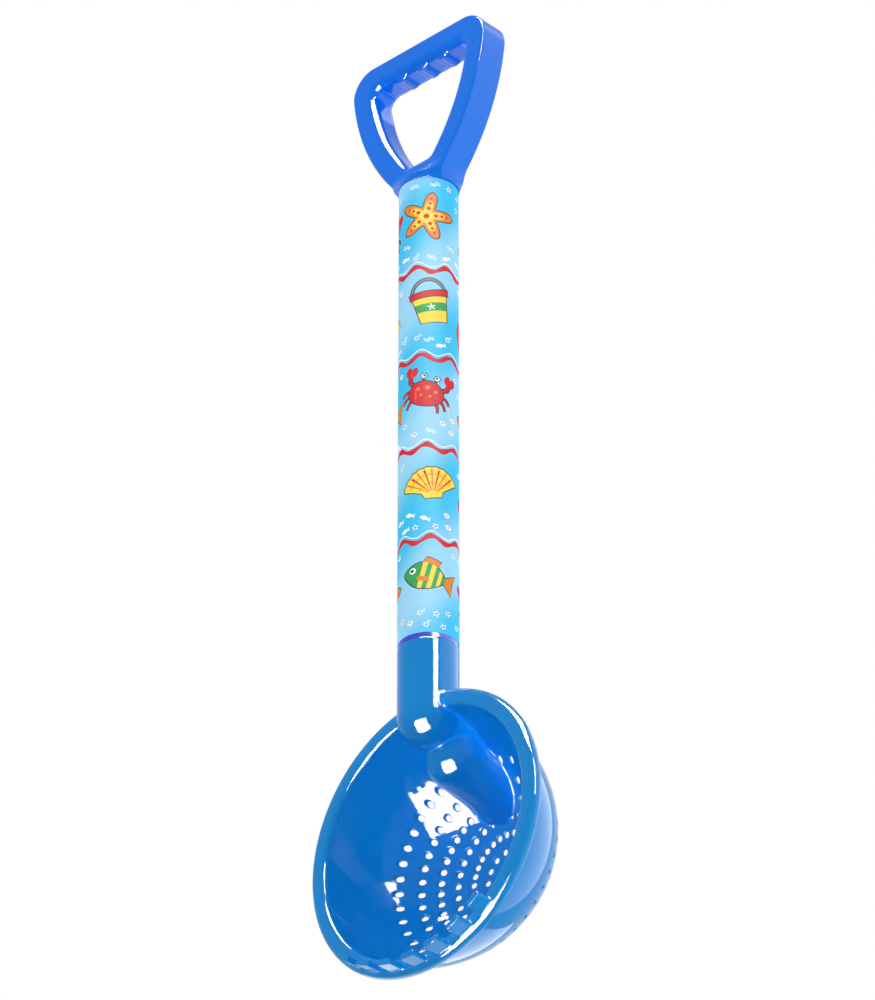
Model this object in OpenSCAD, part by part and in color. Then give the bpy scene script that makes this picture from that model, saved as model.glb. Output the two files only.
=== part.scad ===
// Toy sand sieve on a long handle, in millimetres.
// The tool is held upright with the bowl at the bottom: +Z runs up along the tube,
// +X is to the right and the bowl opens to the front, towards -Y.
// The origin lies on the tube's axis, level with the lowest point of the scooping rim.

/* [Bowl] */
// Inner radius of the half-round bowl
bowl_r = 67.5; // [56:0.1:80]
// Wall thickness of the bowl
bowl_wall = 1.6; // [1.2:0.1:3]
// Width of the rim around the mouth
lip_w = 10; // [9:0.1:18]
// Wall thickness of the rim and its rolled edge
lip_wall = 2; // [1.5:0.1:2.6]
// Radius of the rim's rolled edge
lip_round = 3.8; // [2.8:0.1:4.5]
// Depth of the rolled edge, back from the rim's face
lip_depth = 6.2; // [5:0.1:7]
// Size of the fillet between the rim's back and the bowl
lip_fillet = 3; // [2:0.1:4]
// Width of the bevel that leads from the rim's face into the bowl
mouth_bevel = 1.7; // [1:0.1:5]
// How far the rim's front face stands ahead of the tube's axis
rim_ahead = 5.9; // [0:0.1:8]

/* [Sieve holes] */
// Diameter of one hole
hole_d = 3.2; // [2:0.1:3.6]
// Plain band between the bowl's inner edge and the outermost ring of holes
hole_land = 13.4; // [11:0.1:18]

/* [Teeth] */
// Number of raking teeth along the lower rim
tooth_count = 7; // [3:2:11]
// Width of a tooth along the rim
tooth_w = 8.8; // [6:0.1:12]
// Length of a tooth, forwards from the rim's face
tooth_len = 9.6; // [5:0.1:15]
// Thickness of a tooth
tooth_t = 3.2; // [2.4:0.1:5]
// Angle from one tooth to the next, seen from the bowl's middle
tooth_step = 12.3; // [11:0.1:14]
// How far the teeth are set in from the rim's outer edge
tooth_inset = 2.5; // [1:0.1:4]

/* [Neck] */
// Outer diameter of the neck, flush with the printed film on the tube
neck_d = 32; // [30:0.5:36]
// Wall thickness of the hollow neck
neck_wall = 2.8; // [2:0.1:4]
// Height of the neck's shoulder above the top of the rim
neck_rise = 28.7; // [20:0.1:60]
// How far the neck's round end hangs below the top of the rim
neck_drop = 10.9; // [8:0.1:14]
// How far the web starts above the neck's round end
web_rise = 5; // [2:0.1:6]
// How much slimmer than the neck the web is, on the radius
web_inset = 0.4; // [0.3:0.1:1]
// Slope of the web that runs back from the neck's end, below level
web_slope = 15.4; // [5:0.1:25]
// Diameter of the round lobe that stiffens the web from below
lobe_d = 30.6; // [26:0.1:32]
// How far the lobe's round end lies behind the tube's axis
lobe_back = 19.5; // [16:0.1:26]
// How far the lobe's round end lies below the neck's round end
lobe_drop = 15.7; // [12:0.1:20]
// Slope of the lobe as it runs back, below level
lobe_slope = 10.8; // [5:0.1:20]

/* [Tube] */
// Length of the plastic tube
tube_len = 285; // [150:0.5:500]
// Outer diameter of the tube
tube_d = 31.6; // [29.6:0.1:31.6]
// Wall thickness of the tube
tube_wall = 1.5; // [1.2:0.1:2]

/* [Printed film] */
// Thickness of the film sleeve
film_t = 0.15; // [0.1:0.01:0.3]
// Bare tube left between the film and the neck
film_bare_low = 2.5; // [0.5:0.1:10]
// Bare tube left between the film and the grip
film_bare_top = 0.5; // [0.5:0.1:10]

/* [Push fits] */
// Length of the spigots that go into the tube
spigot_len = 36; // [20:1:60]
// Wall thickness of the spigots
spigot_wall = 2.6; // [2:0.1:3.5]
// Clearance on the radius between a spigot and the tube
fit_gap = 0.1; // [0.05:0.01:0.2]
// Radius of the round snap bead on a spigot
bead_r = 0.9; // [0.7:0.1:1.1]
// How far the snap bead stands out of its spigot
bead_out = 0.4; // [0.2:0.1:0.5]

/* [Grip] */
// Height of the grip above the tube
grip_h = 95.3; // [85:0.1:120]
// Thickness of the grip from front to back
grip_t = 18; // [14:0.5:24]
// Height of the hand bar
bar_h = 14.2; // [11:0.1:20]
// Width of the two limbs
limb_w = 14.4; // [10:0.1:16]
// Radius of the limbs' outer curve
limb_r = 137; // [125:1:170]
// Width of the grip across the limbs, level with the foot of the opening
yoke_w = 51.6; // [48:0.1:58]
// Radius of the grip's outer top corners
grip_corner_r = 15; // [8:0.5:16]
// Radius of the opening's top corners
open_top_r = 5; // [3.5:0.5:8]
// Radius of the opening's lower corners
open_low_r = 4; // [3:0.5:11]
// Height of the web below the opening, above the tube
yoke_h = 17.5; // [14:0.5:30]
// Bevel along the grip's outer edges, front and back
grip_bevel = 1; // [0.6:0.1:3]
// Bevel along the edges of the hand opening, front and back
open_bevel = 2.8; // [1:0.1:4]
// Height of the round collar that seats on the tube
collar_h = 4.5; // [3:0.5:8]

/* [Finger ridges] */
// Number of ridges under the hand bar
ridge_count = 3; // [2:1:4]
// Distance from one ridge to the next
ridge_pitch = 15.2; // [11:0.1:16]
// Radius of a ridge
ridge_r = 5.5; // [3:0.1:6]
// How far a ridge stands out under the bar
ridge_out = 1.6; // [1:0.1:3]
// How far the ridges stay back from the bar's front and back faces
ridge_inset = 3.2; // [2.5:0.1:5]

/* [Hidden] */

// Fineness of large and of small round forms
$fn = 96;
fine_fn = 48;

// Overrun of every cut past the surface that it opens
overrun = 1;
// Clearance between the film and the tube, on the radius
film_gap = 0.05;

// Holes in each ring, from the innermost ring outwards, chosen by hand
ring_counts = [8, 15, 30, 30, 40, 40, 40];

// Bowl and rim
rim_r = bowl_r + lip_w;
rim_z = rim_r;
bowl_out_r = bowl_r + bowl_wall;
mouth_y = -rim_ahead;
hole_pitch = (bowl_r - hole_land) / len(ring_counts);
tooth_face_r = rim_r - tooth_inset;

// Heights along the tube
neck_r = neck_d / 2;
lobe_r = lobe_d / 2;
neck_end_z = rim_z + rim_r - neck_drop;
tube_z = rim_z + rim_r + neck_rise;
grip_z = tube_z + tube_len;

// Tube and push fits
tube_r = tube_d / 2;
tube_bore_r = tube_r - tube_wall;
spigot_r = tube_bore_r - fit_gap;
spigot_bore_r = spigot_r - spigot_wall;
bead_ring_r = spigot_r + bead_out - bead_r;
bead_from_end = spigot_len / 3;

// Grip
opening_top = grip_h - bar_h;
grip_foot = collar_h;
grip_foot_r = 2 * grip_bevel;
limb_centre_z = grip_h - grip_bevel;
limb_centre = [yoke_w / 2 - sqrt(pow(limb_r, 2) - pow(limb_centre_z - yoke_h, 2)), limb_centre_z];

// Points along an arc round a centre, between two angles
function arc(centre, radius, from, to, steps) =
    [for (i = [0:steps])
        let (a = from + (to - from) * i / steps)
        centre + radius * [cos(a), sin(a)]];

// Centre of a corner of radius r at height z, tangent to a limb curve of radius limb
function corner_centre(limb, r, z) =
    [limb_centre[0] + sqrt(pow(limb - r, 2) - pow(z - limb_centre[1], 2)), z];

// Angle at which a corner meets its limb curve
function meet(centre) =
    atan2(centre[1] - limb_centre[1], centre[0] - limb_centre[0]);

// Right half of a grip outline: lower corner, limb curve, upper corner, all moved in by inset
function half_outline(limb, low, top, low_r, top_r, inset) =
    let (a = corner_centre(limb, low_r, low + low_r))
    let (b = corner_centre(limb, top_r, top - top_r))
    concat(
        arc(a, low_r - inset, -90, meet(a), 8),
        arc(limb_centre, limb - inset, meet(a), meet(b), 12),
        arc(b, top_r - inset, meet(b), 90, 8));

// Whole outline, the right half and its mirror image
module outline(limb, low, top, low_r, top_r, inset) {
    half = half_outline(limb, low, top, low_r, top_r, inset);
    polygon(half);
    mirror([1, 0]) polygon(half);
    filler = half[0];
    top_point = half[len(half) - 1];
    polygon([filler, top_point, [-top_point[0], top_point[1]], [-filler[0], filler[1]]]);
}

// Flat slab of a grip outline, from one depth to another
module slab(limb, low, top, low_r, top_r, inset, from_y, to_y) {
    translate([0, to_y, 0])
        rotate([90, 0, 0])
            linear_extrude(to_y - from_y)
                outline(limb, low, top, low_r, top_r, inset);
}

// Outer form of the grip with its bevelled edges
module grip_outer() {
    half_t = grip_t / 2;
    hull() {
        slab(limb_r, grip_foot, grip_h, grip_foot_r, grip_corner_r, 0,
            -half_t + grip_bevel, half_t - grip_bevel);
        slab(limb_r, grip_foot, grip_h, grip_foot_r, grip_corner_r, grip_bevel,
            -half_t, half_t);
    }
}

// Opening for the hand, flared by its bevel at one face
module grip_opening_half() {
    half_t = grip_t / 2;
    hull() {
        slab(limb_r - limb_w, yoke_h, opening_top, open_low_r, open_top_r, 0,
            -half_t + open_bevel, 0);
        slab(limb_r - limb_w, yoke_h, opening_top, open_low_r, open_top_r, -open_bevel,
            -half_t - overrun, -half_t);
    }
}

// Rounded ridges under the hand bar
module finger_ridges() {
    length = grip_t - 2 * ridge_inset;
    for (i = [0:ridge_count - 1])
        translate([(i - (ridge_count - 1) / 2) * ridge_pitch, length / 2, opening_top + ridge_r - ridge_out])
            rotate([90, 0, 0])
                cylinder(r = ridge_r, h = length, $fn = fine_fn);
}

// Hollow spigot that points up from z = 0, with its snap bead
module spigot() {
    difference() {
        union() {
            cylinder(r = spigot_r, h = spigot_len);
            translate([0, 0, spigot_len - bead_from_end])
                rotate_extrude()
                    translate([bead_ring_r, 0])
                        circle(r = bead_r, $fn = fine_fn);
        }
        translate([0, 0, -overrun])
            cylinder(r = spigot_bore_r, h = spigot_len + 2 * overrun);
    }
}

// D-shaped hand grip, one moulding with its collar and spigot
module grip() {
    color("#0066E5")
        translate([0, 0, grip_z]) {
            difference() {
                union() {
                    grip_outer();
                    cylinder(r = neck_r, h = collar_h);
                    translate([0, 0, collar_h])
                        cylinder(r1 = neck_r, r2 = grip_t / 2 - grip_bevel, h = yoke_h - collar_h);
                }
                grip_opening_half();
                mirror([0, 1, 0]) grip_opening_half();
            }
            finger_ridges();
            mirror([0, 0, 1]) spigot();
        }
}

// Ring-shaped groove that a snap bead clicks into
module bead_groove() {
    rotate_extrude()
        translate([bead_ring_r, 0])
            circle(r = bead_r + fit_gap, $fn = fine_fn);
}

// Plastic tube between the two mouldings
module tube() {
    color("#1030C8")
        translate([0, 0, tube_z])
            difference() {
                cylinder(r = tube_r, h = tube_len);
                translate([0, 0, -overrun])
                    cylinder(r = tube_bore_r, h = tube_len + 2 * overrun);
                translate([0, 0, spigot_len - bead_from_end])
                    bead_groove();
                translate([0, 0, tube_len - spigot_len + bead_from_end])
                    bead_groove();
            }
}

// Printed film shrunk round the tube
module film_sleeve() {
    inner_r = tube_r + film_gap;
    length = tube_len - film_bare_low - film_bare_top;
    color("#55C4F0")
        translate([0, 0, tube_z + film_bare_low])
            difference() {
                cylinder(r = inner_r + film_t, h = length);
                translate([0, 0, -overrun])
                    cylinder(r = inner_r, h = length + 2 * overrun);
            }
}

// Turns the bowl's own axis, drawn upwards, to point back from the mouth
module at_mouth() {
    translate([0, mouth_y, rim_z])
        rotate([-90, 0, 0])
            children();
}

// Section of the rim's rolled edge: a round corner and what follows it towards the back
module curl_section() {
    inner_r = lip_round - lip_wall;
    back_h = lip_depth - lip_round;
    translate([rim_r - lip_round, lip_round])
        difference() {
            circle(r = lip_round, $fn = fine_fn);
            circle(r = inner_r, $fn = fine_fn);
            square([inner_r, 2 * lip_round]);
            translate([-2 * lip_round, -inner_r])
                square([2 * lip_round, 4 * lip_round]);
            translate([0, back_h])
                square([2 * lip_round, 2 * lip_round]);
        }
}

// Section of the rim's plate: bevelled mouth, flat face and the fillet behind them
module plate_section() {
    mid_wall_r = bowl_r + bowl_wall / 2;
    foot_h = lip_wall + lip_fillet + bowl_wall / 2;
    polygon([
        [bowl_r - overrun, mouth_bevel + overrun],
        [bowl_r + mouth_bevel, 0],
        [rim_r - lip_round, 0],
        [rim_r - lip_round, lip_wall],
        [bowl_out_r + lip_fillet, lip_wall],
        [mid_wall_r, foot_h],
        [bowl_r - overrun, foot_h]]);
}

// Half-round bowl behind its bevelled mouth, still solid
module bowl_outer() {
    difference() {
        sphere(r = bowl_out_r);
        translate([0, 0, -bowl_out_r - overrun])
            cylinder(r = bowl_out_r + overrun, h = bowl_out_r + 1.5 * overrun + mouth_bevel);
    }
}

// Holes of the sieve, all parallel to the bowl's axis
module sieve_holes() {
    for (k = [0:len(ring_counts)]) {
        count = k == 0 ? 1 : ring_counts[k - 1];
        for (i = [0:count - 1])
            rotate(90 + i * 360 / count)
                translate([k * hole_pitch, 0, bowl_r / 2])
                    cylinder(d = hole_d, h = bowl_out_r, $fn = 24);
    }
}

// Teeth that stand forward from the lower rim
module teeth() {
    for (i = [0:tooth_count - 1])
        rotate(90 + (i - (tooth_count - 1) / 2) * tooth_step)
            translate([tooth_face_r - tooth_t, -tooth_w / 2, -tooth_len])
                cube([tooth_t, tooth_w, tooth_len + lip_wall]);
}

// Neck below the shoulder: a round-ended cylinder, the web that runs back from it and the lobe below
module neck_outer() {
    translate([0, 0, neck_end_z]) {
        cylinder(r = neck_r, h = tube_z - neck_end_z);
        sphere(r = neck_r);
    }
    intersection() {
        union() {
            translate([0, 0, neck_end_z + web_rise])
                rotate([-90 - web_slope, 0, 0])
                    cylinder(r = neck_r - web_inset, h = bowl_out_r);
            translate([0, lobe_back, neck_end_z - lobe_drop]) {
                sphere(r = lobe_r);
                rotate([-90 - lobe_slope, 0, 0])
                    cylinder(r = lobe_r, h = bowl_out_r);
            }
        }
        translate([0, mouth_y, rim_z])
            sphere(r = bowl_r + bowl_wall / 2);
    }
}

// Room inside the neck, open upwards through the spigot
module neck_bore() {
    bore_r = neck_r - neck_wall;
    translate([0, 0, neck_end_z]) {
        cylinder(r = bore_r, h = tube_z - neck_end_z - neck_wall);
        sphere(r = bore_r);
        cylinder(r = spigot_bore_r, h = tube_z - neck_end_z + overrun);
    }
}

// Perforated bowl with rim, teeth and neck, one moulding
module sieve_head() {
    color("#0E7AD3") {
        difference() {
            union() {
                at_mouth()
                    difference() {
                        union() {
                            bowl_outer();
                            rotate_extrude() plate_section();
                        }
                        sphere(r = bowl_r);
                        sieve_holes();
                    }
                at_mouth() rotate_extrude() curl_section();
                at_mouth() teeth();
                neck_outer();
            }
            neck_bore();
        }
        translate([0, 0, tube_z]) spigot();
    }
}

grip();
tube();
film_sleeve();
sieve_head();
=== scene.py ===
# %% [markdown]
# Toy sand sieve, dressed for the render
# The object is a long-handled sand toy: a perforated half-round bowl with a toothed rim, a hollow
# neck, a plastic tube in a printed film sleeve, and a D-shaped hand grip. All of it is plastic.
# Two pieces carry the looks, the bowl and the grip. They are glossy mouldings whose every edge is
# softened, so both are made from a distance field. The printed sleeve is cut out of flat outlines
# like a real print and rolled up. The tube keeps its construction solid.

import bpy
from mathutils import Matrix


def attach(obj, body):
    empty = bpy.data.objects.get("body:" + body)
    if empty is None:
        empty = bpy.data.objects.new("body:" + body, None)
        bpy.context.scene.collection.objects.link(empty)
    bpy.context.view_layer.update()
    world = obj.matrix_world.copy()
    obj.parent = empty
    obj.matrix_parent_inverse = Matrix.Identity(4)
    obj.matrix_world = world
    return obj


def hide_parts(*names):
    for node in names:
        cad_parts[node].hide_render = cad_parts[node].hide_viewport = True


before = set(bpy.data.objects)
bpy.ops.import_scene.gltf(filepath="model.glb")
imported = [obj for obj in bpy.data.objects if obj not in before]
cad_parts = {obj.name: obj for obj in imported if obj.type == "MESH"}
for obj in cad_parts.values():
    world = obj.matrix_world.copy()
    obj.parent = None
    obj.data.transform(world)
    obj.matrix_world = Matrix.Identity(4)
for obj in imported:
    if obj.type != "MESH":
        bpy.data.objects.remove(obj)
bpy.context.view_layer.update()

# %% Modules and the unit
import math
import random
import bpy
import numpy as np
from mathutils import Matrix, Vector
from mathutils.geometry import delaunay_2d_cdt

MM = 0.001
print("one millimetre is", MM, "of Blender's metres")

# %% [markdown]
# Sizes
# The pieces stand where the construction puts them, so the script repeats its sizes in
# millimetres. The origin is on the tube's axis, level with the lowest point of the rim. The tube
# runs up along z, x is to the right, and the bowl opens to the front, towards minus y.

# %% Sizes of the bowl, the rim and the teeth
bowl_r, bowl_wall = 67.5, 1.6
lip_w, lip_wall, lip_round, lip_fillet = 10, 2, 3.8, 3
mouth_bevel, rim_ahead = 1.7, 5.9
hole_d, hole_land = 3.2, 13.4
ring_counts = np.array([1, 8, 15, 30, 30, 40, 40, 40])
tooth_count, tooth_w, tooth_len, tooth_t = 7, 8.8, 9.6, 3.2
tooth_step, tooth_inset = math.radians(12.3), 2.5
rim_r = bowl_r + lip_w
rim_z = rim_r
hole_pitch = (bowl_r - hole_land) / (len(ring_counts) - 1)
print("rim", 2 * rim_r, "mm across,", ring_counts.sum(), "holes,", round(hole_pitch, 2), "mm between rings")

# %% Sizes of the neck, the tube and the grip
neck_r, neck_wall, neck_rise, neck_drop = 16, 2.8, 28.7, 10.9
web_rise, web_inset, web_slope = 5, 0.4, math.radians(15.4)
lobe_r, lobe_back, lobe_drop, lobe_slope = 15.3, 19.5, 15.7, math.radians(10.8)
tube_len, tube_r, tube_wall, film_t, film_gap = 285, 15.8, 1.5, 0.15, 0.05
film_low, film_top = 2.5, 0.5
spigot_len, spigot_wall, fit_gap, bead_r, bead_out = 36, 2.6, 0.1, 0.9, 0.4
grip_h, grip_t, bar_h, limb_w, limb_r, yoke_w = 95.3, 18, 14.2, 14.4, 137, 51.6
grip_corner_r, open_top_r, open_low_r, yoke_h = 15, 5, 4, 17.5
grip_bevel, grip_foot_r, collar_h = 1, 2.0, 4.5
ridge_count, ridge_pitch, ridge_r, ridge_out, ridge_inset = 3, 15.2, 5.5, 1.6, 3.2
neck_end_z = rim_z + rim_r - neck_drop
tube_z = rim_z + rim_r + neck_rise
grip_z = tube_z + tube_len
spigot_r = tube_r - tube_wall - fit_gap
print("tube from z", tube_z, "to", grip_z, "mm, top of the grip at", grip_z + grip_h)

# %% [markdown]
# Camera
# The picture is taken from below and from the right with a long lens, so the tube's edges stay
# almost parallel. The direction and the distance come from the ellipse of the rim and the rows of
# holes. The picture is taken to be 875 by 1000 pixels, and the sensor's 36 mm lie along its
# longer side.

# %% Camera at the photograph's viewing angle
azimuth, elevation, distance = math.radians(43.53), math.radians(-32.21), 3.10455
to_camera = Vector((math.sin(azimuth) * math.cos(elevation),
                    -math.cos(azimuth) * math.cos(elevation), math.sin(elevation)))
to_right = Vector((math.cos(azimuth), math.sin(azimuth), 0))
to_top = to_camera.cross(to_right)
aim = to_right * 0.004694 + Vector((0, 0, 0.2752))
camera = bpy.data.objects.new("camera", bpy.data.cameras.new("camera"))
bpy.context.scene.collection.objects.link(camera)
camera.data.lens = 216
camera.matrix_world = Matrix.Translation(aim + to_camera * distance) @ Matrix(
    (to_right, to_top, to_camera)).transposed().to_4x4()
camera.data.clip_end = 200
bpy.context.scene.camera = camera
bpy.context.scene.view_settings.view_transform = "Standard"
print("camera at", [round(v, 3) for v in camera.location], "with a", camera.data.lens, "mm lens")

# %% [markdown]
# Helpers for colours and nodes
# Colours are written as the sRGB hex values that one reads in a picture, and Blender's sockets
# want linear light, so one function turns them. Another adds a node with its settings, its plain
# values and its links, so that a material reads like a recipe.

# %% Colour and node helpers
def linear(code, alpha=1.0):
    parts = [int(code[i:i + 2], 16) / 255 for i in (1, 3, 5)]
    return tuple(c / 12.92 if c <= 0.04045 else ((c + 0.055) / 1.055) ** 2.4 for c in parts) + (alpha,)


def add_node(tree, kind, values=(), links=(), **settings):
    made = tree.nodes.new(kind)
    for name, value in settings.items():
        setattr(made, name, value)
    for name, value in dict(values).items():
        made.inputs[name].default_value = value
    for name, source in dict(links).items():
        tree.links.new(source, made.inputs[name])
    return made


def empty_material(name):
    material = bpy.data.materials.new(name)
    material.use_nodes = True
    material.node_tree.nodes.clear()
    return material


print("sky blue in linear light:", [round(c, 3) for c in linear("#55C4F0")])

# %% [markdown]
# World, floor and light
# The photograph has a white ground and no horizon. The world is white for the camera and for
# reflections, and a plain grey for the light that it gives, so the blue keeps its colour. The
# camera looks up from below, so the sieve hangs high over a wide pale floor, which catches its
# shadow without coming between the camera and the bowl.

# %% White world that lights softly
world = bpy.data.worlds.new("studio_world")
bpy.context.scene.world = world
world.use_nodes = True
sky = world.node_tree
sky.nodes.clear()


def seen_or_mirrored(tree):
    path = add_node(tree, "ShaderNodeLightPath")
    first = add_node(tree, "ShaderNodeMath", operation="MAXIMUM",
                     links={0: path.outputs["Is Camera Ray"], 1: path.outputs["Is Glossy Ray"]})
    return add_node(tree, "ShaderNodeMath", operation="MAXIMUM",
                    links={0: first.outputs[0], 1: path.outputs["Is Transmission Ray"]}).outputs[0]


soft = add_node(sky, "ShaderNodeBackground", {"Color": linear("#FFFFFF"), "Strength": 0.64})
white = add_node(sky, "ShaderNodeBackground", {"Color": linear("#FFFFFF"), "Strength": 1.0})
choice = add_node(sky, "ShaderNodeMixShader",
                  links={0: seen_or_mirrored(sky), 1: soft.outputs[0], 2: white.outputs[0]})
add_node(sky, "ShaderNodeOutputWorld", links={"Surface": choice.outputs[0]})
print("world: light", soft.inputs["Strength"].default_value,
      "and white", white.inputs["Strength"].default_value)

# %% Wide pale floor far below
floor_mesh = bpy.data.meshes.new("studio_floor")
half, floor_z = 60, -4.4
floor_mesh.from_pydata([(x * half, y * half, floor_z) for x, y in ((-1, -1), (1, -1), (1, 1), (-1, 1))],
                       [], [(0, 1, 2, 3)])
floor = bpy.data.objects.new("studio_floor", floor_mesh)
bpy.context.scene.collection.objects.link(floor)
paper = empty_material("white_studio_paper")
tree = paper.node_tree
grain = add_node(tree, "ShaderNodeTexNoise", {"Scale": 400.0, "Detail": 3.0})
tone = add_node(tree, "ShaderNodeMix", {6: linear("#F4F4F4"), 7: linear("#FFFFFF")},
                {0: grain.outputs["Fac"]}, data_type="RGBA")
matt = add_node(tree, "ShaderNodeBsdfDiffuse", links={"Color": tone.outputs[2]})
glow = add_node(tree, "ShaderNodeEmission", {"Color": linear("#FFFFFF"), "Strength": 1.0})
share = add_node(tree, "ShaderNodeMath", {1: 0.75}, {0: seen_or_mirrored(tree)}, operation="MULTIPLY")
both = add_node(tree, "ShaderNodeMixShader",
                links={0: share.outputs[0], 1: matt.outputs[0], 2: glow.outputs[0]})
add_node(tree, "ShaderNodeOutputMaterial", links={"Surface": both.outputs[0]})
floor_mesh.materials.append(paper)
print("floor", 2 * half, "m wide at z", floor_mesh.vertices[0].co.z, "m")

# %% [markdown]
# Studio lights
# The highlights tell where the softboxes stood: the line along the neck is one to the right of
# the camera and above it, the streaks along the rim add one overhead and one in front, below.
# Their reflections are pure white, but the plastic around them isn't overlit. So each of these
# three shines on the gloss alone. They are very bright, because the mouldings' specular level is
# low, and seen from straight above or from far below they wash the film out. Two large, dim ones
# behind make the grip's sides paler, also by gloss alone, and three fills give the plain light.

# %% Softboxes
def softbox(name, az, el, width, height, radiance, gloss, away=2.6, at=(0, 0, 0.2)):
    az, el = math.radians(az), math.radians(el)
    out = Vector((math.sin(az) * math.cos(el), -math.cos(az) * math.cos(el), math.sin(el)))
    lamp = bpy.data.lights.new(name, "AREA")
    lamp.shape = "RECTANGLE"
    lamp.size = 2 * away * math.tan(math.radians(width) / 2)
    lamp.size_y = 2 * away * math.tan(math.radians(height) / 2)
    lamp.energy = radiance * math.pi * lamp.size * lamp.size_y
    box = bpy.data.objects.new(name, lamp)
    box.location = Vector(at) + out * away
    box.rotation_euler = out.to_track_quat("Z", "Y").to_euler()
    box.visible_camera = False
    box.visible_glossy = gloss
    box.visible_transmission = gloss
    box.visible_diffuse = not gloss
    bpy.context.scene.collection.objects.link(box)
    print(name, "is", round(lamp.size, 2), "by", round(lamp.size_y, 2), "m,", round(lamp.energy), "W")


highlight = 130
softbox("gloss_right", 71, 29, 14, 25, highlight, True)
softbox("gloss_below", 8, -50, 50, 46, highlight, True)
softbox("gloss_above", 40, 66, 34, 38, highlight, True)
softbox("gloss_behind", 136, 8, 90, 100, 3.0, True)
softbox("gloss_low", -136, -32, 60, 60, 3.5, True)
softbox("fill_left", -12, 30, 50, 50, 1.5, False)
softbox("fill_front", 55, -40, 50, 50, 0.6, False)
softbox("fill_right", 112, -22, 60, 60, 1.2, False)

# %% [markdown]
# Distance fields
# A moulding has no sharp edge: each corner is rounded and each joint has a fillet. Bevels and
# booleans on a mesh get tangled where a thin perforated bowl, a flange, teeth and a bent neck
# meet. A distance field gives every point in space its distance to the surface, negative inside.
# Two forms are joined by the smaller value and cut by the larger one, and a smooth minimum makes
# the fillet by itself.

# %% Rules that join and cut with fillets
def smooth_min(a, b, k):
    h = np.maximum(k - np.abs(a - b), 0.0) / k
    return np.minimum(a, b) - h * h * k / 4


def smooth_max(a, b, k):
    return -smooth_min(-a, -b, k)


def round_max(a, b, r):
    outside = np.hypot(np.maximum(a + r, 0.0), np.maximum(b + r, 0.0))
    return outside + np.minimum(np.maximum(a + r, b + r), 0.0) - r


print("a 3 mm smooth minimum moves a corner by", smooth_min(0.0, 0.0, 3.0), "mm")

# %% [markdown]
# From the field to a mesh
# The field is measured on a grid. Every cell that the surface crosses gets one point, and every
# grid edge that it crosses gets one quad between the four cells round it. The points are then
# slid along the field's slope until they lie on the surface, and the slope is kept as the
# shading normal. That gives even quads and smooth highlights.

# %% Measure a field on a grid
grid_step = 0.62


def sample(field, low, high, step):
    axes = [np.arange(a - 2 * step, b + 2.5 * step, step) for a, b in zip(low, high)]
    values = np.empty([len(a) for a in axes], np.float32)
    y, z = np.meshgrid(axes[1], axes[2], indexing="ij")
    sheet = np.stack([np.zeros(y.size), y.ravel(), z.ravel()], axis=1)
    for i, x in enumerate(axes[0]):
        sheet[:, 0] = x
        values[i] = field(sheet).reshape(y.shape)
    return values, np.array([a[0] for a in axes])


# %% One point for each crossed cell, one quad for each crossed edge
def surface_net(values, low, step):
    inside = values < 0
    cells = tuple(np.array(values.shape) - 1)
    total, count = np.zeros((np.prod(cells), 3)), np.zeros(np.prod(cells))
    quads = []
    for axis in range(3):
        near = tuple(slice(0, -1) if i == axis else slice(None) for i in range(3))
        far = tuple(slice(1, None) if i == axis else slice(None) for i in range(3))
        edge = np.argwhere(inside[near] != inside[far])
        others = [i for i in range(3) if i != axis]
        edge = edge[(edge[:, others] > 0).all(1) & (edge[:, others] < np.array(cells)[others]).all(1)]
        a, b = values[near][tuple(edge.T)], values[far][tuple(edge.T)]
        crossing = edge.astype(float)
        crossing[:, axis] += a / (a - b)
        ring = []
        for du, dv in ((0, 0), (1, 0), (1, 1), (0, 1)):
            cell = edge.copy()
            cell[:, others[0]] -= du
            cell[:, others[1]] -= dv
            ring.append(np.ravel_multi_index(tuple(cell.T), cells))
            np.add.at(total, ring[-1], crossing)
            np.add.at(count, ring[-1], 1)
        quad = np.stack(ring, axis=1)
        turned = (a < 0) == (axis == 1)
        quad[turned] = quad[turned][:, ::-1]
        quads.append(quad)
    used, faces = np.unique(np.concatenate(quads), return_inverse=True)
    return total[used] / count[used][:, None] * step + low, faces.reshape(-1, 4)


# %% Slide the points onto the surface
def slope(field, points, reach=0.02):
    made = np.empty_like(points)
    for axis in range(3):
        shift = np.eye(3)[axis] * reach
        made[:, axis] = (field(points + shift) - field(points - shift)) / (2 * reach)
    return made


def settle(field, points, rounds=3):
    for _ in range(rounds):
        g = slope(field, points)
        points = points - (field(points) / np.maximum((g * g).sum(1), 0.25))[:, None] * g
    g = slope(field, points)
    return points, g / np.linalg.norm(g, axis=1)[:, None]


# %% Make the piece from its field
def moulding(name, field, low, high):
    values, corner = sample(field, low, high, grid_step)
    points, faces = surface_net(values, corner, grid_step)
    points, normals = settle(field, points)
    mesh = bpy.data.meshes.new(name)
    mesh.vertices.add(len(points))
    mesh.vertices.foreach_set("co", (points * MM).astype(np.float32).ravel())
    mesh.loops.add(faces.size)
    mesh.loops.foreach_set("vertex_index", faces.astype(np.int32).ravel())
    mesh.polygons.add(len(faces))
    mesh.polygons.foreach_set("loop_start", np.arange(0, faces.size, 4, dtype=np.int32))
    mesh.update(calc_edges=True)
    mesh.polygons.foreach_set("use_smooth", np.ones(len(faces), bool))
    mesh.normals_split_custom_set_from_vertices(normals)
    piece = bpy.data.objects.new(name, mesh)
    bpy.context.scene.collection.objects.link(piece)
    print(name, "has", len(points), "points; low", points.min(0).round(2), "high", points.max(0).round(2),
          "worst distance", round(float(np.abs(field(points)).max()), 3), "mm")
    return piece


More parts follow.
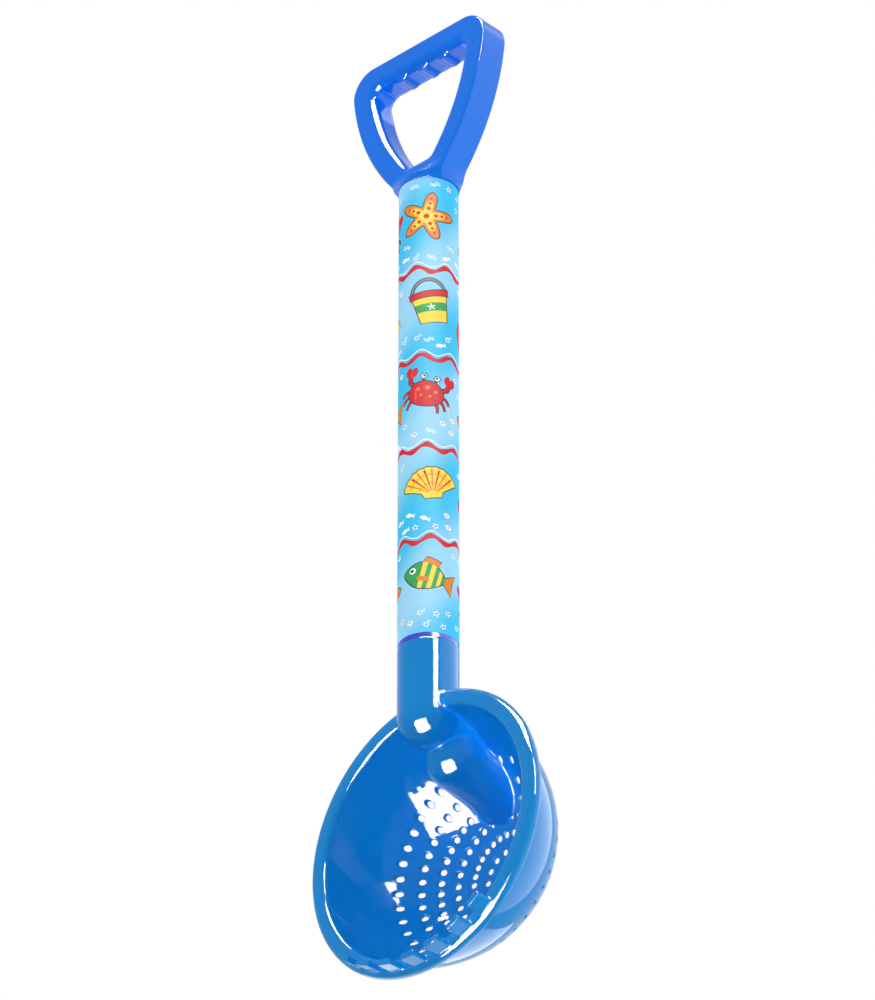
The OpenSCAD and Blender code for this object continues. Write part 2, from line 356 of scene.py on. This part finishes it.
# %% [markdown]
# Sieve bowl
# The bowl is one injection moulding: a half-round shell with rings of round holes, a flat rim
# whose outer edge is rolled back, seven raking teeth, and a neck that ends round, runs back into
# the shell as a web and has a lobe below it. A lathe, an array of cutters and a loft could make
# it, but the fillet between neck, rim and shell is the form that the eye sees, so all of it is
# one field.

# %% Field of the rim and the shell
def shell_field(h, r, ball, bevel_soft=1.0, mouth_soft=1.4):
    out, back = r - (rim_r - lip_round), h - lip_round
    middle, turn = lip_round - lip_wall / 2, math.radians(30)
    plate = np.hypot(np.maximum(out, 0), back + middle)
    roll = np.where((out > 0) & (back < out * math.tan(turn)), np.abs(np.hypot(out, back) - middle),
                    np.hypot(out - middle * math.cos(turn), back - middle * math.sin(turn)))
    flange = np.minimum(plate, roll) - lip_wall / 2
    dome = np.maximum(ball - bowl_r - bowl_wall, -h)
    bevel = (bowl_r + mouth_bevel - r - h) / math.sqrt(2)
    mouth = smooth_max(smooth_max(-h, bevel, bevel_soft), bowl_r - ball, mouth_soft)
    return np.maximum(smooth_min(flange, dome, 1.2 * lip_fillet), mouth)


# %% Field of the holes, folded into one hole for each ring
def hole_field(x, up, r):
    ring = np.clip(np.rint(r / hole_pitch), 0, len(ring_counts) - 1).astype(int)
    step = 2 * math.pi / ring_counts[ring]
    angle = np.arctan2(x, -up)
    angle -= np.rint(angle / step) * step
    return np.hypot(r * np.cos(angle) - ring * hole_pitch, r * np.sin(angle)) - hole_d / 2


# %% Field of the teeth, folded into one tooth
def tooth_field(x, up, h, r, soft=0.5):
    angle = np.arctan2(x, -up)
    last = tooth_count // 2
    angle -= np.clip(np.rint(angle / tooth_step), -last, last) * tooth_step
    a = np.abs(r * np.cos(angle) - (rim_r - tooth_inset - tooth_t / 2)) - tooth_t / 2 + soft
    b = np.abs(r * np.sin(angle)) - tooth_w / 2 + soft
    c = np.abs(h + (tooth_len - lip_wall) / 2) - (tooth_len + lip_wall) / 2 + soft
    outside = np.sqrt(np.maximum(a, 0) ** 2 + np.maximum(b, 0) ** 2 + np.maximum(c, 0) ** 2)
    return outside + np.minimum(np.maximum(np.maximum(a, b), c), 0) - soft


# %% Field of the neck, its web and the lobe
def run_back(x, y, z, fall, radius):
    along = y * math.cos(fall) - z * math.sin(fall)
    across = np.hypot(x, y * math.sin(fall) + z * math.cos(fall))
    return np.where(along > 0, across, np.hypot(across, along)) - radius


def neck_field(x, y, z, ball, soft=0.8, fillet=1.2):
    d = z - neck_end_z
    axis = np.hypot(x, y)
    neck = smooth_max(np.where(d < 0, np.hypot(axis, d), axis) - neck_r, z - tube_z, soft)
    web = run_back(x, y, d - web_rise, web_slope, neck_r - web_inset)
    lobe = run_back(x, y - lobe_back, d + lobe_drop, lobe_slope, lobe_r)
    behind = np.maximum(smooth_min(web, lobe, fillet), ball - bowl_r - bowl_wall / 2)
    return smooth_min(neck, behind, fillet)


# %% Field of a spigot and of the room inside the neck
def spigot_field(axis, height):
    stem = np.maximum(axis - spigot_r, np.maximum(-1 - height, height - spigot_len))
    bead = np.hypot(axis - (spigot_r + bead_out - bead_r), height - spigot_len * 2 / 3) - bead_r
    return np.minimum(stem, bead)


def neck_room(axis, z):
    d = z - neck_end_z
    room = np.maximum(np.where(d < 0, np.hypot(axis, d), axis) - neck_r + neck_wall,
                      z - tube_z + neck_wall)
    return np.minimum(room, np.maximum(axis - spigot_r + spigot_wall, -d))


# %% The whole bowl
hole_round, tooth_fillet, neck_fillet = 0.5, 0.8, 1.6


def sieve_field(p):
    x, y, z = p[:, 0], p[:, 1], p[:, 2]
    up, h = z - rim_z, y + rim_ahead
    r = np.hypot(x, up)
    ball, axis = np.hypot(r, h), np.hypot(x, y)
    body = smooth_max(shell_field(h, r, ball), -hole_field(x, up, r), hole_round)
    body = smooth_min(body, tooth_field(x, up, h, r), tooth_fillet)
    body = smooth_min(body, neck_field(x, y, z, ball), neck_fillet)
    body = np.minimum(body, spigot_field(axis, z - tube_z))
    return np.maximum(body, -neck_room(axis, z))


sieve_body = moulding("sieve_body", sieve_field, (-rim_r, -neck_r, 0),
                      (rim_r, bowl_r + bowl_wall - rim_ahead, tube_z + spigot_len))

# %% [markdown]
# Hand grip
# The grip is a D-shaped loop of even thickness with three ridges for the fingers under the bar
# and a round collar that seats on the tube. Its outline is made of arcs, so the field starts from
# the distance to that outline in the flat, and is then given its thickness. Its outer edges are
# only just broken, and the opening's are well rounded, where the hand holds it.

# %% Outlines of the grip in the flat
limb_z = grip_h - grip_bevel
limb_x = yoke_w / 2 - math.sqrt(limb_r ** 2 - (limb_z - yoke_h) ** 2)


def arc(cx, cz, radius, start, end, steps):
    a = np.linspace(start, end, steps + 1)
    return np.stack([cx + radius * np.cos(a), cz + radius * np.sin(a)], axis=1)


def loop_outline(limb, low, top, low_r, top_r):
    corners = []
    for radius, z in ((low_r, low + low_r), (top_r, top - top_r)):
        cx = limb_x + math.sqrt((limb - radius) ** 2 - (z - limb_z) ** 2)
        corners.append((cx, z, math.atan2(z - limb_z, cx - limb_x)))
    (ax, az, am), (bx, bz, bm) = corners
    right = np.concatenate([arc(ax, az, low_r, -math.pi / 2, am, 14),
                            arc(limb_x, limb_z, limb, am, bm, 30)[1:-1],
                            arc(bx, bz, top_r, bm, math.pi / 2, 18)])
    return np.concatenate([right, right[::-1] * (-1, 1)])


outer = loop_outline(limb_r, collar_h, grip_h, grip_foot_r, grip_corner_r)
inner = loop_outline(limb_r - limb_w, yoke_h, grip_h - bar_h, open_low_r, open_top_r)
print("grip outline", round(2 * outer[:, 0].max(), 1), "mm wide,",
      "opening", round(2 * inner[:, 0].max(), 1), "mm wide")


# %% Distance to an outline
def outline_distance(x, z, outline):
    best, inside = np.full(len(x), 1e9), np.zeros(len(x), bool)
    for (ax, az), (bx, bz) in zip(outline, np.roll(outline, -1, axis=0)):
        ex, ez = bx - ax, bz - az
        length = ex * ex + ez * ez
        if length < 1e-12:
            continue
        t = np.clip(((x - ax) * ex + (z - az) * ez) / length, 0, 1)
        best = np.minimum(best, (x - ax - t * ex) ** 2 + (z - az - t * ez) ** 2)
        if ez != 0:
            crosses = (az > z) != (bz > z)
            inside ^= crosses & (x < ex * (z - az) / ez + ax)
    return np.where(inside, -1.0, 1.0) * np.sqrt(best)


# %% The whole grip
edge_round, opening_round, collar_round, foot_soft, ridge_round = 1.2, 5.0, 0.8, 0.6, 1.0
collar_fillet, ridge_fillet = 9.0, 1.2


def grip_field(p):
    x, y, z = p[:, 0], p[:, 1], p[:, 2] - grip_z
    axis = np.hypot(x, y)
    face = np.abs(y) - grip_t / 2
    body = np.maximum(round_max(outline_distance(x, z, outer), face, edge_round),
                      round_max(-outline_distance(x, z, inner), face, opening_round))
    collar = smooth_max(round_max(axis - neck_r, z - collar_h, collar_round), -z, foot_soft)
    body = np.maximum(smooth_min(body, collar, collar_fillet), -z)
    last = ridge_count // 2
    fold = x - np.clip(np.rint(x / ridge_pitch), -last, last) * ridge_pitch
    ridge = np.hypot(fold, z - (grip_h - bar_h + ridge_r - ridge_out)) - ridge_r
    ridge = round_max(ridge, face + ridge_inset, ridge_round)
    body = smooth_min(body, ridge, ridge_fillet)
    stem = np.minimum(body, spigot_field(axis, -z))
    room = np.maximum(axis - spigot_r + spigot_wall, np.maximum(z, -z - spigot_len - 2))
    return np.maximum(stem, -room)


grip_reach = 49.4
grip_body = moulding("grip_body", grip_field, (-grip_reach, -neck_r, grip_z - spigot_len),
                     (grip_reach, neck_r, grip_z + grip_h))

# %% [markdown]
# Moulded polypropylene
# The bowl, the neck and the grip are injection-moulded polypropylene, dyed right through. Its index
# is about 1.49, and a polished mould leaves it very smooth, so lamps mirror in it as clean white
# shapes. The specular level is set far below that of the real plastic, because the white world
# mirrored in it turned the blue towards purple. Slow flow in the mould leaves broad, faint changes
# of tone, and a fine ripple keeps the reflections from being perfectly straight.

# %% Polypropylene, dyed and polished
def moulded_polypropylene(name, dye, shade, flow_mm=38.0, scuff_mm=9, ripple_mm=2.6, roughness=0.045):
    material = empty_material(name)
    tree = material.node_tree
    place = add_node(tree, "ShaderNodeTexCoord").outputs["Object"]
    flow = add_node(tree, "ShaderNodeTexNoise", {"Scale": 1 / (flow_mm * MM), "Detail": 2.0},
                    {"Vector": place})
    tone = add_node(tree, "ShaderNodeMix", {6: linear(dye), 7: linear(shade)}, {0: flow.outputs["Fac"]},
                    data_type="RGBA")
    scuff = add_node(tree, "ShaderNodeTexNoise", {"Scale": 1 / (scuff_mm * MM), "Detail": 4.0},
                     {"Vector": place})
    polish = add_node(tree, "ShaderNodeMapRange", {"To Min": roughness * 0.7, "To Max": roughness * 1.5},
                      {"Value": scuff.outputs["Fac"]})
    ripple = add_node(tree, "ShaderNodeTexNoise", {"Scale": 1 / (ripple_mm * MM), "Detail": 1.0},
                      {"Vector": place})
    relief = add_node(tree, "ShaderNodeBump", {"Strength": 0.05, "Distance": 0.06 * MM},
                      {"Height": ripple.outputs["Fac"]})
    plastic = add_node(tree, "ShaderNodeBsdfPrincipled", {"IOR": 1.49, "Specular IOR Level": 0.12},
                       {"Base Color": tone.outputs[2], "Roughness": polish.outputs[0],
                        "Normal": relief.outputs[0]})
    add_node(tree, "ShaderNodeOutputMaterial", links={"Surface": plastic.outputs[0]})
    print(name, "dyed", dye, "with roughness about", roughness)
    return material


sieve_body.data.materials.append(moulded_polypropylene("sieve_polypropylene", "#0C86D0", "#0B7DC4"))
grip_body.data.materials.append(moulded_polypropylene("grip_polypropylene", "#0672E8", "#066ADA"))
for piece, node_name, slot_name in ((sieve_body, "sieve_head", "sieve_plastic"),
                                    (grip_body, "grip", "grip_plastic")):
    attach(piece, "root")
    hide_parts(node_name)

# %% [markdown]
# Tube
# The tube is extruded polypropylene of a deeper blue. Little of it shows: a thin ring at each end
# of the film. An extruded pipe has fine lines along its length, so the ripple is stretched
# lengthways. The construction solid has the right shape and stays.

# %% Extruded tube
def extruded_polypropylene(name, dye, shade, line_mm=0.8):
    material = empty_material(name)
    tree = material.node_tree
    place = add_node(tree, "ShaderNodeTexCoord").outputs["Object"]
    drawn = add_node(tree, "ShaderNodeMapping", {"Scale": (1.0, 1.0, 0.02)}, {"Vector": place})
    lines = add_node(tree, "ShaderNodeTexNoise", {"Scale": 1 / (line_mm * MM), "Detail": 2.0},
                     {"Vector": drawn.outputs[0]})
    tone = add_node(tree, "ShaderNodeMix", {6: linear(dye), 7: linear(shade)}, {0: lines.outputs["Fac"]},
                    data_type="RGBA")
    relief = add_node(tree, "ShaderNodeBump", {"Strength": 0.12, "Distance": 0.05 * MM},
                      {"Height": lines.outputs["Fac"]})
    plastic = add_node(tree, "ShaderNodeBsdfPrincipled", {"IOR": 1.49, "Roughness": 0.16},
                       {"Base Color": tone.outputs[2], "Normal": relief.outputs[0]})
    add_node(tree, "ShaderNodeOutputMaterial", links={"Surface": plastic.outputs[0]})
    return material


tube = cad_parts["tube"]
tube.data.materials.clear()
tube.data.materials.append(extruded_polypropylene("tube_polypropylene", "#1034CC", "#0D2CB4"))
print("tube keeps its solid with", len(tube.data.vertices), "points")

# %% [markdown]
# Printed film
# The tube wears a sleeve of thin printed film. A picture texture would be the usual way, but here
# each motif is an outline, cut into one flat sheet together with all the others, and the sheet is
# rolled round the tube. Every piece of colour is then a group of faces with its own ink, as crisp
# from close by as from afar. The motifs are plain seaside things.

# %% Sheet of film in the flat
print_inset, lap_out = 0.03, 0.02
film_r = tube_r + film_gap + film_t - print_inset
around = 2 * math.pi * film_r
film_bottom, film_height = tube_z + film_low, tube_len - film_low - film_top
facing = film_r * azimuth
sheet_left = facing - around / 2
inks = ["film", "white", "red", "charcoal", "orange", "yellow", "green", "grey", "navy"]
cut_outs = []


def cut(points, ink):
    points = np.asarray(points, float)
    x, z = points.T
    if (x * np.roll(z, -1) - z * np.roll(x, -1)).sum() < 0:
        points = points[::-1]
    cut_outs.append((points, inks.index(ink)))


print("film is", round(around, 1), "mm round and", film_height, "mm high")


# %% Drawing helpers
def polar(radius, count=72, start=0.0):
    a = np.linspace(0, 2 * math.pi, count, endpoint=False) + start
    r = np.array([radius(t - start) for t in a])
    return np.stack([r * np.cos(a), r * np.sin(a)], axis=1)


def disc(x, z, radius, count=28):
    return polar(lambda t: radius, count) + (x, z)


def band(points, width):
    points = np.asarray(points, float)
    along = np.gradient(points, axis=0)
    side = np.stack([-along[:, 1], along[:, 0]], axis=1)
    side /= np.linalg.norm(side, axis=1)[:, None]
    width = np.broadcast_to(width, len(points))[:, None] / 2
    return np.concatenate([points + side * width, (points - side * width)[::-1]])


def grown(points, by):
    ahead, behind = np.roll(points, -1, axis=0), np.roll(points, 1, axis=0)
    along = ahead - behind
    side = np.stack([along[:, 1], -along[:, 0]], axis=1)
    return points + by * side / np.linalg.norm(side, axis=1)[:, None]


def placed(drawing, x, z, turn=0.0, size=1.0):
    c, s = math.cos(math.radians(turn)) * size, math.sin(math.radians(turn)) * size
    for points, ink in drawing:
        cut(np.asarray(points) @ np.array([[c, s], [-s, c]]) + (x, z), ink)


# %% Starfish and scallop
def starfish():
    body = polar(lambda t: 12.5 * (0.4 + 0.6 * ((1 + math.cos(5 * t)) / 2) ** 1.25), 150, math.pi / 2)
    parts = [(grown(body, 0.5), "charcoal"), (body, "orange"), (body * 0.68, "yellow")]
    for arm in range(5):
        a = math.pi / 2 + arm * 2 * math.pi / 5
        for reach, radius in ((4.2, 0.95), (7.0, 0.75), (9.4, 0.55)):
            parts.append((disc(reach * math.cos(a), reach * math.sin(a), radius, 18), "red"))
    return parts + [(disc(0, 0, 1.3), "red")]


def scallop():
    fan = [(13.6 + 0.55 * abs(math.sin((t + 1.15) * 9 / 2.3 * math.pi)))
           * np.array([math.sin(t), math.cos(t)]) for t in np.linspace(-1.15, 1.15, 110)]
    body = np.array([(-3.6, -1.2), (-4.6, 1.4)] + fan + [(4.6, 1.4), (3.6, -1.2)])[::-1] - (0, 6)
    parts = [(grown(body, 0.5), "charcoal"), (body, "yellow")]
    for k in range(8):
        t = -1.15 + (k + 1) * 2.3 / 9
        ray = np.outer(np.linspace(2.4, 12.9, 8), (math.sin(t), math.cos(t))) - (0, 6)
        parts.append((band(ray, np.linspace(0.35, 1.0, 8)), "red" if k % 2 else "orange"))
    for reach in (6.0, 10.4):
        rib = [reach * np.array([math.sin(t), math.cos(t)]) - (0, 6) for t in np.linspace(-1.05, 1.05, 40)]
        parts.append((band(rib, 0.5), "orange"))
    return parts


# %% Fish and ball
def fish():
    def half_height(x):
        return 6.4 * math.sin(math.pi * (x + 10.5) / 19.5) ** 0.75 if -10.5 < x < 9 else 0.0

    xs = np.linspace(-10.5, 9, 50)
    top = [(x, half_height(x)) for x in xs]
    body = np.array(top + [(x, -z) for x, z in top[::-1]][1:-1])[::-1]
    tail = np.array([(7.2, 0.6), (13.2, 5.6), (12.0, 0), (13.2, -5.6), (7.2, -0.6)])[::-1]
    fin = np.array([(-3.5, 5.2), (-1.5, 9.0), (4.8, 8.2), (3.5, 4.2)])[::-1]
    parts = [(grown(part, 0.5), "charcoal") for part in (tail, fin, body)]
    parts += [(tail, "orange"), (fin, "orange"), (body, "green")]
    for start, end in ((-3.2, -1.2), (0.8, 2.8), (4.6, 6.2)):
        xs = np.linspace(start, end, 8)
        bow = [(x + 0.6, half_height(x + 0.6)) for x in xs]
        parts.append((np.array(bow + [(x, -z) for x, z in bow[::-1]])[::-1], "yellow"))
    side_fin = polar(lambda t: 2.3 + 0.5 * math.cos(2 * t), 30) * (1, 0.6) + (-1.0, -1.6)
    return parts + [(side_fin, "orange"), (disc(-6.4, 1.5, 1.5), "white"),
                    (disc(-6.7, 1.5, 0.8), "charcoal")]


def ball():
    radius = 10.6
    parts = [(disc(0, 0, radius + 0.5, 72), "charcoal"), (disc(0, 0, radius, 72), "white")]
    z = np.linspace(-1, 1, 34)
    for left, right, ink in ((-1.0, -0.66, "red"), (-0.2, 0.28, "yellow"), (0.68, 0.93, "green"),
                             (-0.2, -0.16, "grey"), (0.28, 0.32, "grey")):
        a = np.stack([left * np.sqrt(1 - z ** 2), z], axis=1) * radius
        b = np.stack([right * np.sqrt(1 - z ** 2), z], axis=1)[::-1] * radius
        parts.append((np.concatenate([b, a]), ink))
    return parts + [(disc(0, radius - 1.6, 1.9), "grey"), (disc(0, radius - 1.6, 1.2), "white")]


# %% Crab and bucket
def crab():
    shell = polar(lambda t: 8.2 - 0.5 * math.cos(2 * t) - 0.6 * math.sin(t), 70) * (1, 0.72)
    parts = []
    for side in (-1, 1):
        for a, reach in ((-0.1, 11.4), (-0.45, 11.2), (-0.8, 10.2)):
            foot = np.array([(5.6 * math.cos(a), 4.6 * math.sin(a)),
                             (9.0 * math.cos(a), 8.4 * math.sin(a) + 1.2),
                             (reach * math.cos(a), reach * math.sin(a) - 1.8)])
            leg = np.array([(1 - t) ** 2 * foot[0] + 2 * t * (1 - t) * foot[1] * 1.1 + t * t * foot[2]
                            for t in np.linspace(0, 1, 10)]) * (side, 1)
            parts += [(band(leg, np.linspace(2.3, 1.3, 10)), "charcoal"),
                      (band(leg, np.linspace(1.4, 0.5, 10)), "red")]
        arm = np.array([(6.2, 2.6), (8.6, 4.6), (9.0, 7.4)]) * (side, 1)
        claw = polar(lambda t: 3.0 - 2.3 * math.exp(-(min(t, 2 * math.pi - t) / 0.32) ** 2),
                     50, math.pi / 2) + (9.0 * side, 9.4)
        parts += [(band(arm, 2.6), "charcoal"), (grown(claw, 0.45), "charcoal"),
                  (band(arm, 1.7), "red"), (claw, "red")]
        stalk = np.array([(2.4, 4.6), (2.7, 6.2), (2.9, 7.4)]) * (side, 1)
        parts += [(band(stalk, 1.2), "charcoal"), (disc(3.0 * side, 8.0, 1.6), "charcoal"),
                  (disc(3.0 * side, 8.0, 1.15), "white"), (disc(2.8 * side, 8.2, 0.6, 16), "charcoal")]
    parts += [(grown(shell, 0.5), "charcoal"), (shell, "red")]
    for x, z, radius in ((-4.0, 1.2, 0.9), (0, 2.6, 1.1), (4.0, 1.2, 0.9),
                         (-2.0, -1.6, 0.7), (2.0, -1.6, 0.7)):
        parts.append((disc(x, z, radius, 18), "orange"))
    return parts


def bucket():
    body = np.array([(-8.0, 5.5), (-5.8, -9.5), (5.8, -9.5), (8.0, 5.5)])
    rim = np.array([(-9.0, 3.9), (9.0, 3.9), (9.3, 6.6), (-9.3, 6.6)])
    bow = [(7.6 * math.cos(t), 5.4 + 7.2 * math.sin(t)) for t in np.linspace(0, math.pi, 30)]
    belt = np.array([(-7.2, 0.4), (-6.6, -3.8), (6.6, -3.8), (7.2, 0.4)])
    star = polar(lambda t: 1.9 * (0.55 + 0.45 * math.cos(5 * t)), 50, math.pi / 2) + (0, -1.7)
    return [(band(bow, 2.0), "charcoal"), (band(bow, 1.1), "grey"), (grown(body, 0.6), "charcoal"),
            (body, "yellow"), (belt, "green"), (star, "white"), (grown(rim, 0.5), "charcoal"), (rim, "red")]


print("six drawings with", [len(d()) for d in (starfish, scallop, fish, ball, crab, bucket)], "outlines")


# %% Small motifs
def bubbles():
    return [(disc(0, 0, 1.5), "white"), (disc(0, 0, 1.05), "film"), (disc(-0.35, 0.4, 0.3, 12), "white"),
            (disc(2.1, 1.6, 0.8, 20), "white"), (disc(2.1, 1.6, 0.48, 16), "film")]


def little_fish():
    body = polar(lambda t: 1.0, 30) * (2.3, 1.25)
    tail = np.array([(1.7, 0), (3.6, 1.4), (3.6, -1.4)])[::-1]
    return [(tail, "white"), (body, "white"), (disc(-1.2, 0.25, 0.28, 10), "navy")]


def little_shell():
    fan = [2.3 * np.array([math.sin(t), math.cos(t)]) for t in np.linspace(-1.1, 1.1, 20)]
    body = np.array([(-0.7, -0.7)] + fan + [(0.7, -0.7)])[::-1]
    reach = np.linspace(0.3, 2.1, 4)
    rays = [(band(np.outer(reach, (math.sin(t), math.cos(t))), 0.3), "red") for t in (-0.6, 0, 0.6)]
    return [(body, "white")] + rays


def little_star():
    body = polar(lambda t: 2.2 * (0.5 + 0.5 * math.cos(5 * t) * 0.8), 60, math.pi / 2)
    return [(body, "white"), (disc(0, 0, 0.55, 14), "red")]


def ripple_mark():
    x = np.linspace(-2.8, 2.8, 24)
    return [(band(np.stack([x, 0.55 * np.sin(x * 2.2) + s], axis=1), 0.42), "white") for s in (-0.6, 0.6)]


small_motifs = (bubbles, little_fish, little_shell, little_star, ripple_mark)
print(len(small_motifs), "small motifs to choose from")

# %% Large motifs in three staggered columns
large = [starfish, ball, fish, scallop, crab, bucket]
row_pitch, first_row, large_size, large_reach = film_height / 5.05, 27.5, 1.22, 17.5
spots = []
for column in range(3):
    for row in range(5):
        x = facing + (column - 1) * around / 3 + (1.2, -1.2)[(row + column) % 2]
        z = film_bottom + first_row + row * row_pitch + (0, 6, -6)[column]
        motif = large[(row + column * 2) % len(large)]
        placed(motif(), x, z, (-8, (-14, 10)[row % 2], 8)[column], large_size)
        spots.append((x, z, large_reach))
print(len(spots), "large motifs")

# %% Wavy lines between them
def level_band(along, middle, width):
    low, top = (np.stack([along, middle + side * width / 2], axis=1) for side in (-1, 1))
    return np.concatenate([low, top[::-1]])


along = np.linspace(sheet_left + 0.01, sheet_left + around - 0.01, 420)
turns = 2 * math.pi * (along - sheet_left) / around
for row in range(1, 5):
    wave = film_bottom + row * row_pitch - 0.3 + 1.9 * np.sin(turns * 6 + row)
    cut(level_band(along, wave, 2.9 + 0.6 * np.cos(turns * 12)), "red")
    cut(level_band(along, wave + 3.0, 0.6), "white")
print("four red waves with white crests")

# %% Small motifs scattered between
chance = random.Random(7)
wanted, most_tries, margin = 110, 9000, 4
small_size, small_reach, clearance, wave_room = 0.95, 3.4, 3.2, 7.0
small, tries = 0, 0
while small < wanted and tries < most_tries:
    tries += 1
    x = sheet_left + margin + chance.random() * (around - 2 * margin)
    z = film_bottom + margin + chance.random() * (film_height - 2 * margin)
    clear = all(math.hypot(x - a, z - b) > radius + clearance for a, b, radius in spots)
    row = round((z - film_bottom) / row_pitch)
    if clear and (abs(z - film_bottom - row * row_pitch) > wave_room or row in (0, 5)):
        placed(chance.choice(small_motifs)(), x, z, chance.uniform(-25, 25), small_size)
        spots.append((x, z, small_reach))
        small += 1
print(small, "small motifs after", tries, "tries;", len(cut_outs), "outlines to cut")

# %% [markdown]
# Cut the sheet and roll it up
# A constrained triangulation takes all outlines at once, splits them where they cross and says
# for every triangle which outlines lie over it. The last one drawn wins, as in printing. Upright
# cuts a millimetre apart let the flat triangles follow the tube's curve.

# %% One sheet cut by every outline
corners = [(sheet_left, film_bottom), (sheet_left + around, film_bottom),
           (sheet_left + around, film_bottom + film_height), (sheet_left, film_bottom + film_height)]
points, faces, edges = list(corners), [(0, 1, 2, 3)], []
for outline, ink in cut_outs:
    faces.append(tuple(range(len(points), len(points) + len(outline))))
    points += [tuple(q) for q in outline]
overrun = sum(((o < corners[0]) | (o > corners[2])).any() for o, _ in cut_outs)
print(overrun, "outlines run past the sheet's edge")
strips = 100
for k in range(1, strips):
    x = sheet_left + around * k / strips
    edges.append((len(points), len(points) + 1))
    points += [(x, film_bottom), (x, film_bottom + film_height)]
flat, _, cells, _, _, origin = delaunay_2d_cdt([Vector(q) for q in points], edges, faces, 1, 1e-5)
ink_of = [0] + [ink for _, ink in cut_outs]
colours = np.array([ink_of[max(o)] for o in origin])
flat = np.array(flat)
print(len(flat), "points and", len(cells), "triangles;",
      {inks[i]: int(n) for i, n in enumerate(np.bincount(colours))})


# %% Roll the sheet and close it with an inner wall
def rolled(x, z, radius):
    return np.stack([radius * np.sin(x / film_r), -radius * np.cos(x / film_r), z], axis=1)


skin = rolled(flat[:, 0], flat[:, 1], film_r)
sides = 96
steps = np.linspace(0, around, sides + 1)[:-1] + sheet_left
low_z, high_z = np.full(sides, film_bottom), np.full(sides, film_bottom + film_height)
inner_r = tube_r + film_gap
rings = [rolled(steps, low_z, film_r), rolled(steps, low_z, inner_r), rolled(steps, high_z, inner_r),
         rolled(steps, high_z, film_r)]
base = len(skin)
closing = []
for ring in range(3):
    for i in range(sides):
        j = (i + 1) % sides
        a, b = base + ring * sides, base + (ring + 1) * sides
        closing.append((a + i, b + i, b + j, a + j))
lap_n = 7
lap_x = np.linspace(-1.8, 1.8, lap_n) + sheet_left
lap = [rolled(lap_x, np.full(lap_n, z), film_r + lap_out)
       for z in (film_bottom, film_bottom + film_height)]
lap_base = base + len(rings) * sides
lap_faces = [(lap_base + i, lap_base + i + 1, lap_base + lap_n + i + 1, lap_base + lap_n + i)
             for i in range(lap_n - 1)]
film_mesh = bpy.data.meshes.new("film_print")
film_mesh.from_pydata((np.concatenate([skin] + rings + lap) * MM).tolist(), [],
                      [tuple(c) for c in cells] + closing + lap_faces)
unprinted = np.zeros(len(closing) + len(lap_faces))
film_mesh.polygons.foreach_set("material_index", np.concatenate([colours, unprinted]).astype(np.int32))
smooth = np.ones(len(film_mesh.polygons), bool)
for ring in (0, 2):
    smooth[len(cells) + ring * sides:len(cells) + (ring + 1) * sides] = False
film_mesh.polygons.foreach_set("use_smooth", smooth)
film_print = bpy.data.objects.new("film_print", film_mesh)
bpy.context.scene.collection.objects.link(film_print)
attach(film_print, "root")
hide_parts("film_sleeve")
print("film sleeve", len(film_mesh.polygons), "faces")

# %% [markdown]
# Inks on the film
# The sleeve is clear polypropylene film, printed on its back, so all inks share one dull surface.
# Its specular level is set almost to nothing, because with more of it the print came out too
# white. The ground is a sky blue that runs softly from pale to vivid, drawn as a slanting wave
# whose turns close round the tube. The other inks have the faint mottle of flexographic print.

# %% Film and inks
def printed_film(name, first, second, slant=True, wave_mm=92, mottle_mm=0.9, crease_mm=7):
    material = empty_material(name)
    tree = material.node_tree
    place = add_node(tree, "ShaderNodeTexCoord").outputs["Object"]
    if slant:
        axes = add_node(tree, "ShaderNodeSeparateXYZ", links={0: place})
        turn = add_node(tree, "ShaderNodeMath", operation="ARCTAN2",
                        links={0: axes.outputs["X"], 1: axes.outputs["Y"]})
        rise = add_node(tree, "ShaderNodeMath", {1: 2 * math.pi / (wave_mm * MM)}, {0: axes.outputs["Z"]},
                        operation="MULTIPLY")
        slope_in = add_node(tree, "ShaderNodeMath", links={0: rise.outputs[0], 1: turn.outputs[0]},
                            operation="ADD")
        wave = add_node(tree, "ShaderNodeMath", links={0: slope_in.outputs[0]}, operation="SINE")
        amount = add_node(tree, "ShaderNodeMapRange", {"From Min": -1.0, "From Max": 1.0},
                          {"Value": wave.outputs[0]}, interpolation_type="SMOOTHSTEP").outputs[0]
    else:
        amount = add_node(tree, "ShaderNodeTexNoise", {"Scale": 1 / (mottle_mm * MM), "Detail": 3.0},
                          {"Vector": place}).outputs["Fac"]
    tone = add_node(tree, "ShaderNodeMix", {6: linear(first), 7: linear(second)}, {0: amount},
                    data_type="RGBA")
    crease = add_node(tree, "ShaderNodeTexNoise", {"Scale": 1 / (crease_mm * MM), "Detail": 2.0},
                      {"Vector": place})
    relief = add_node(tree, "ShaderNodeBump", {"Strength": 0.08, "Distance": 0.1 * MM},
                      {"Height": crease.outputs["Fac"]})
    film = add_node(tree, "ShaderNodeBsdfPrincipled",
                    {"IOR": 1.49, "Roughness": 0.55, "Specular IOR Level": 0.03},
                    {"Base Color": tone.outputs[2], "Normal": relief.outputs[0]})
    add_node(tree, "ShaderNodeOutputMaterial", links={"Surface": film.outputs[0]})
    return material


hues = {"film": ("#9AD6F4", "#38BFEF"), "white": ("#FFFFFF", "#F1F6F8"),
        "red": ("#D8202A", "#C91A24"), "charcoal": ("#2A2A30", "#33323A"),
        "orange": ("#F08A2A", "#E67B1E"), "yellow": ("#FBDF4A", "#F4D234"),
        "green": ("#2FA456", "#27964B"), "grey": ("#8B8E95", "#7C8087"),
        "navy": ("#1C3F94", "#183785")}
for ink in inks:
    film_mesh.materials.append(printed_film("film_ink_" + ink, *hues[ink], slant=ink == "film"))
print(len(film_mesh.materials), "inks")
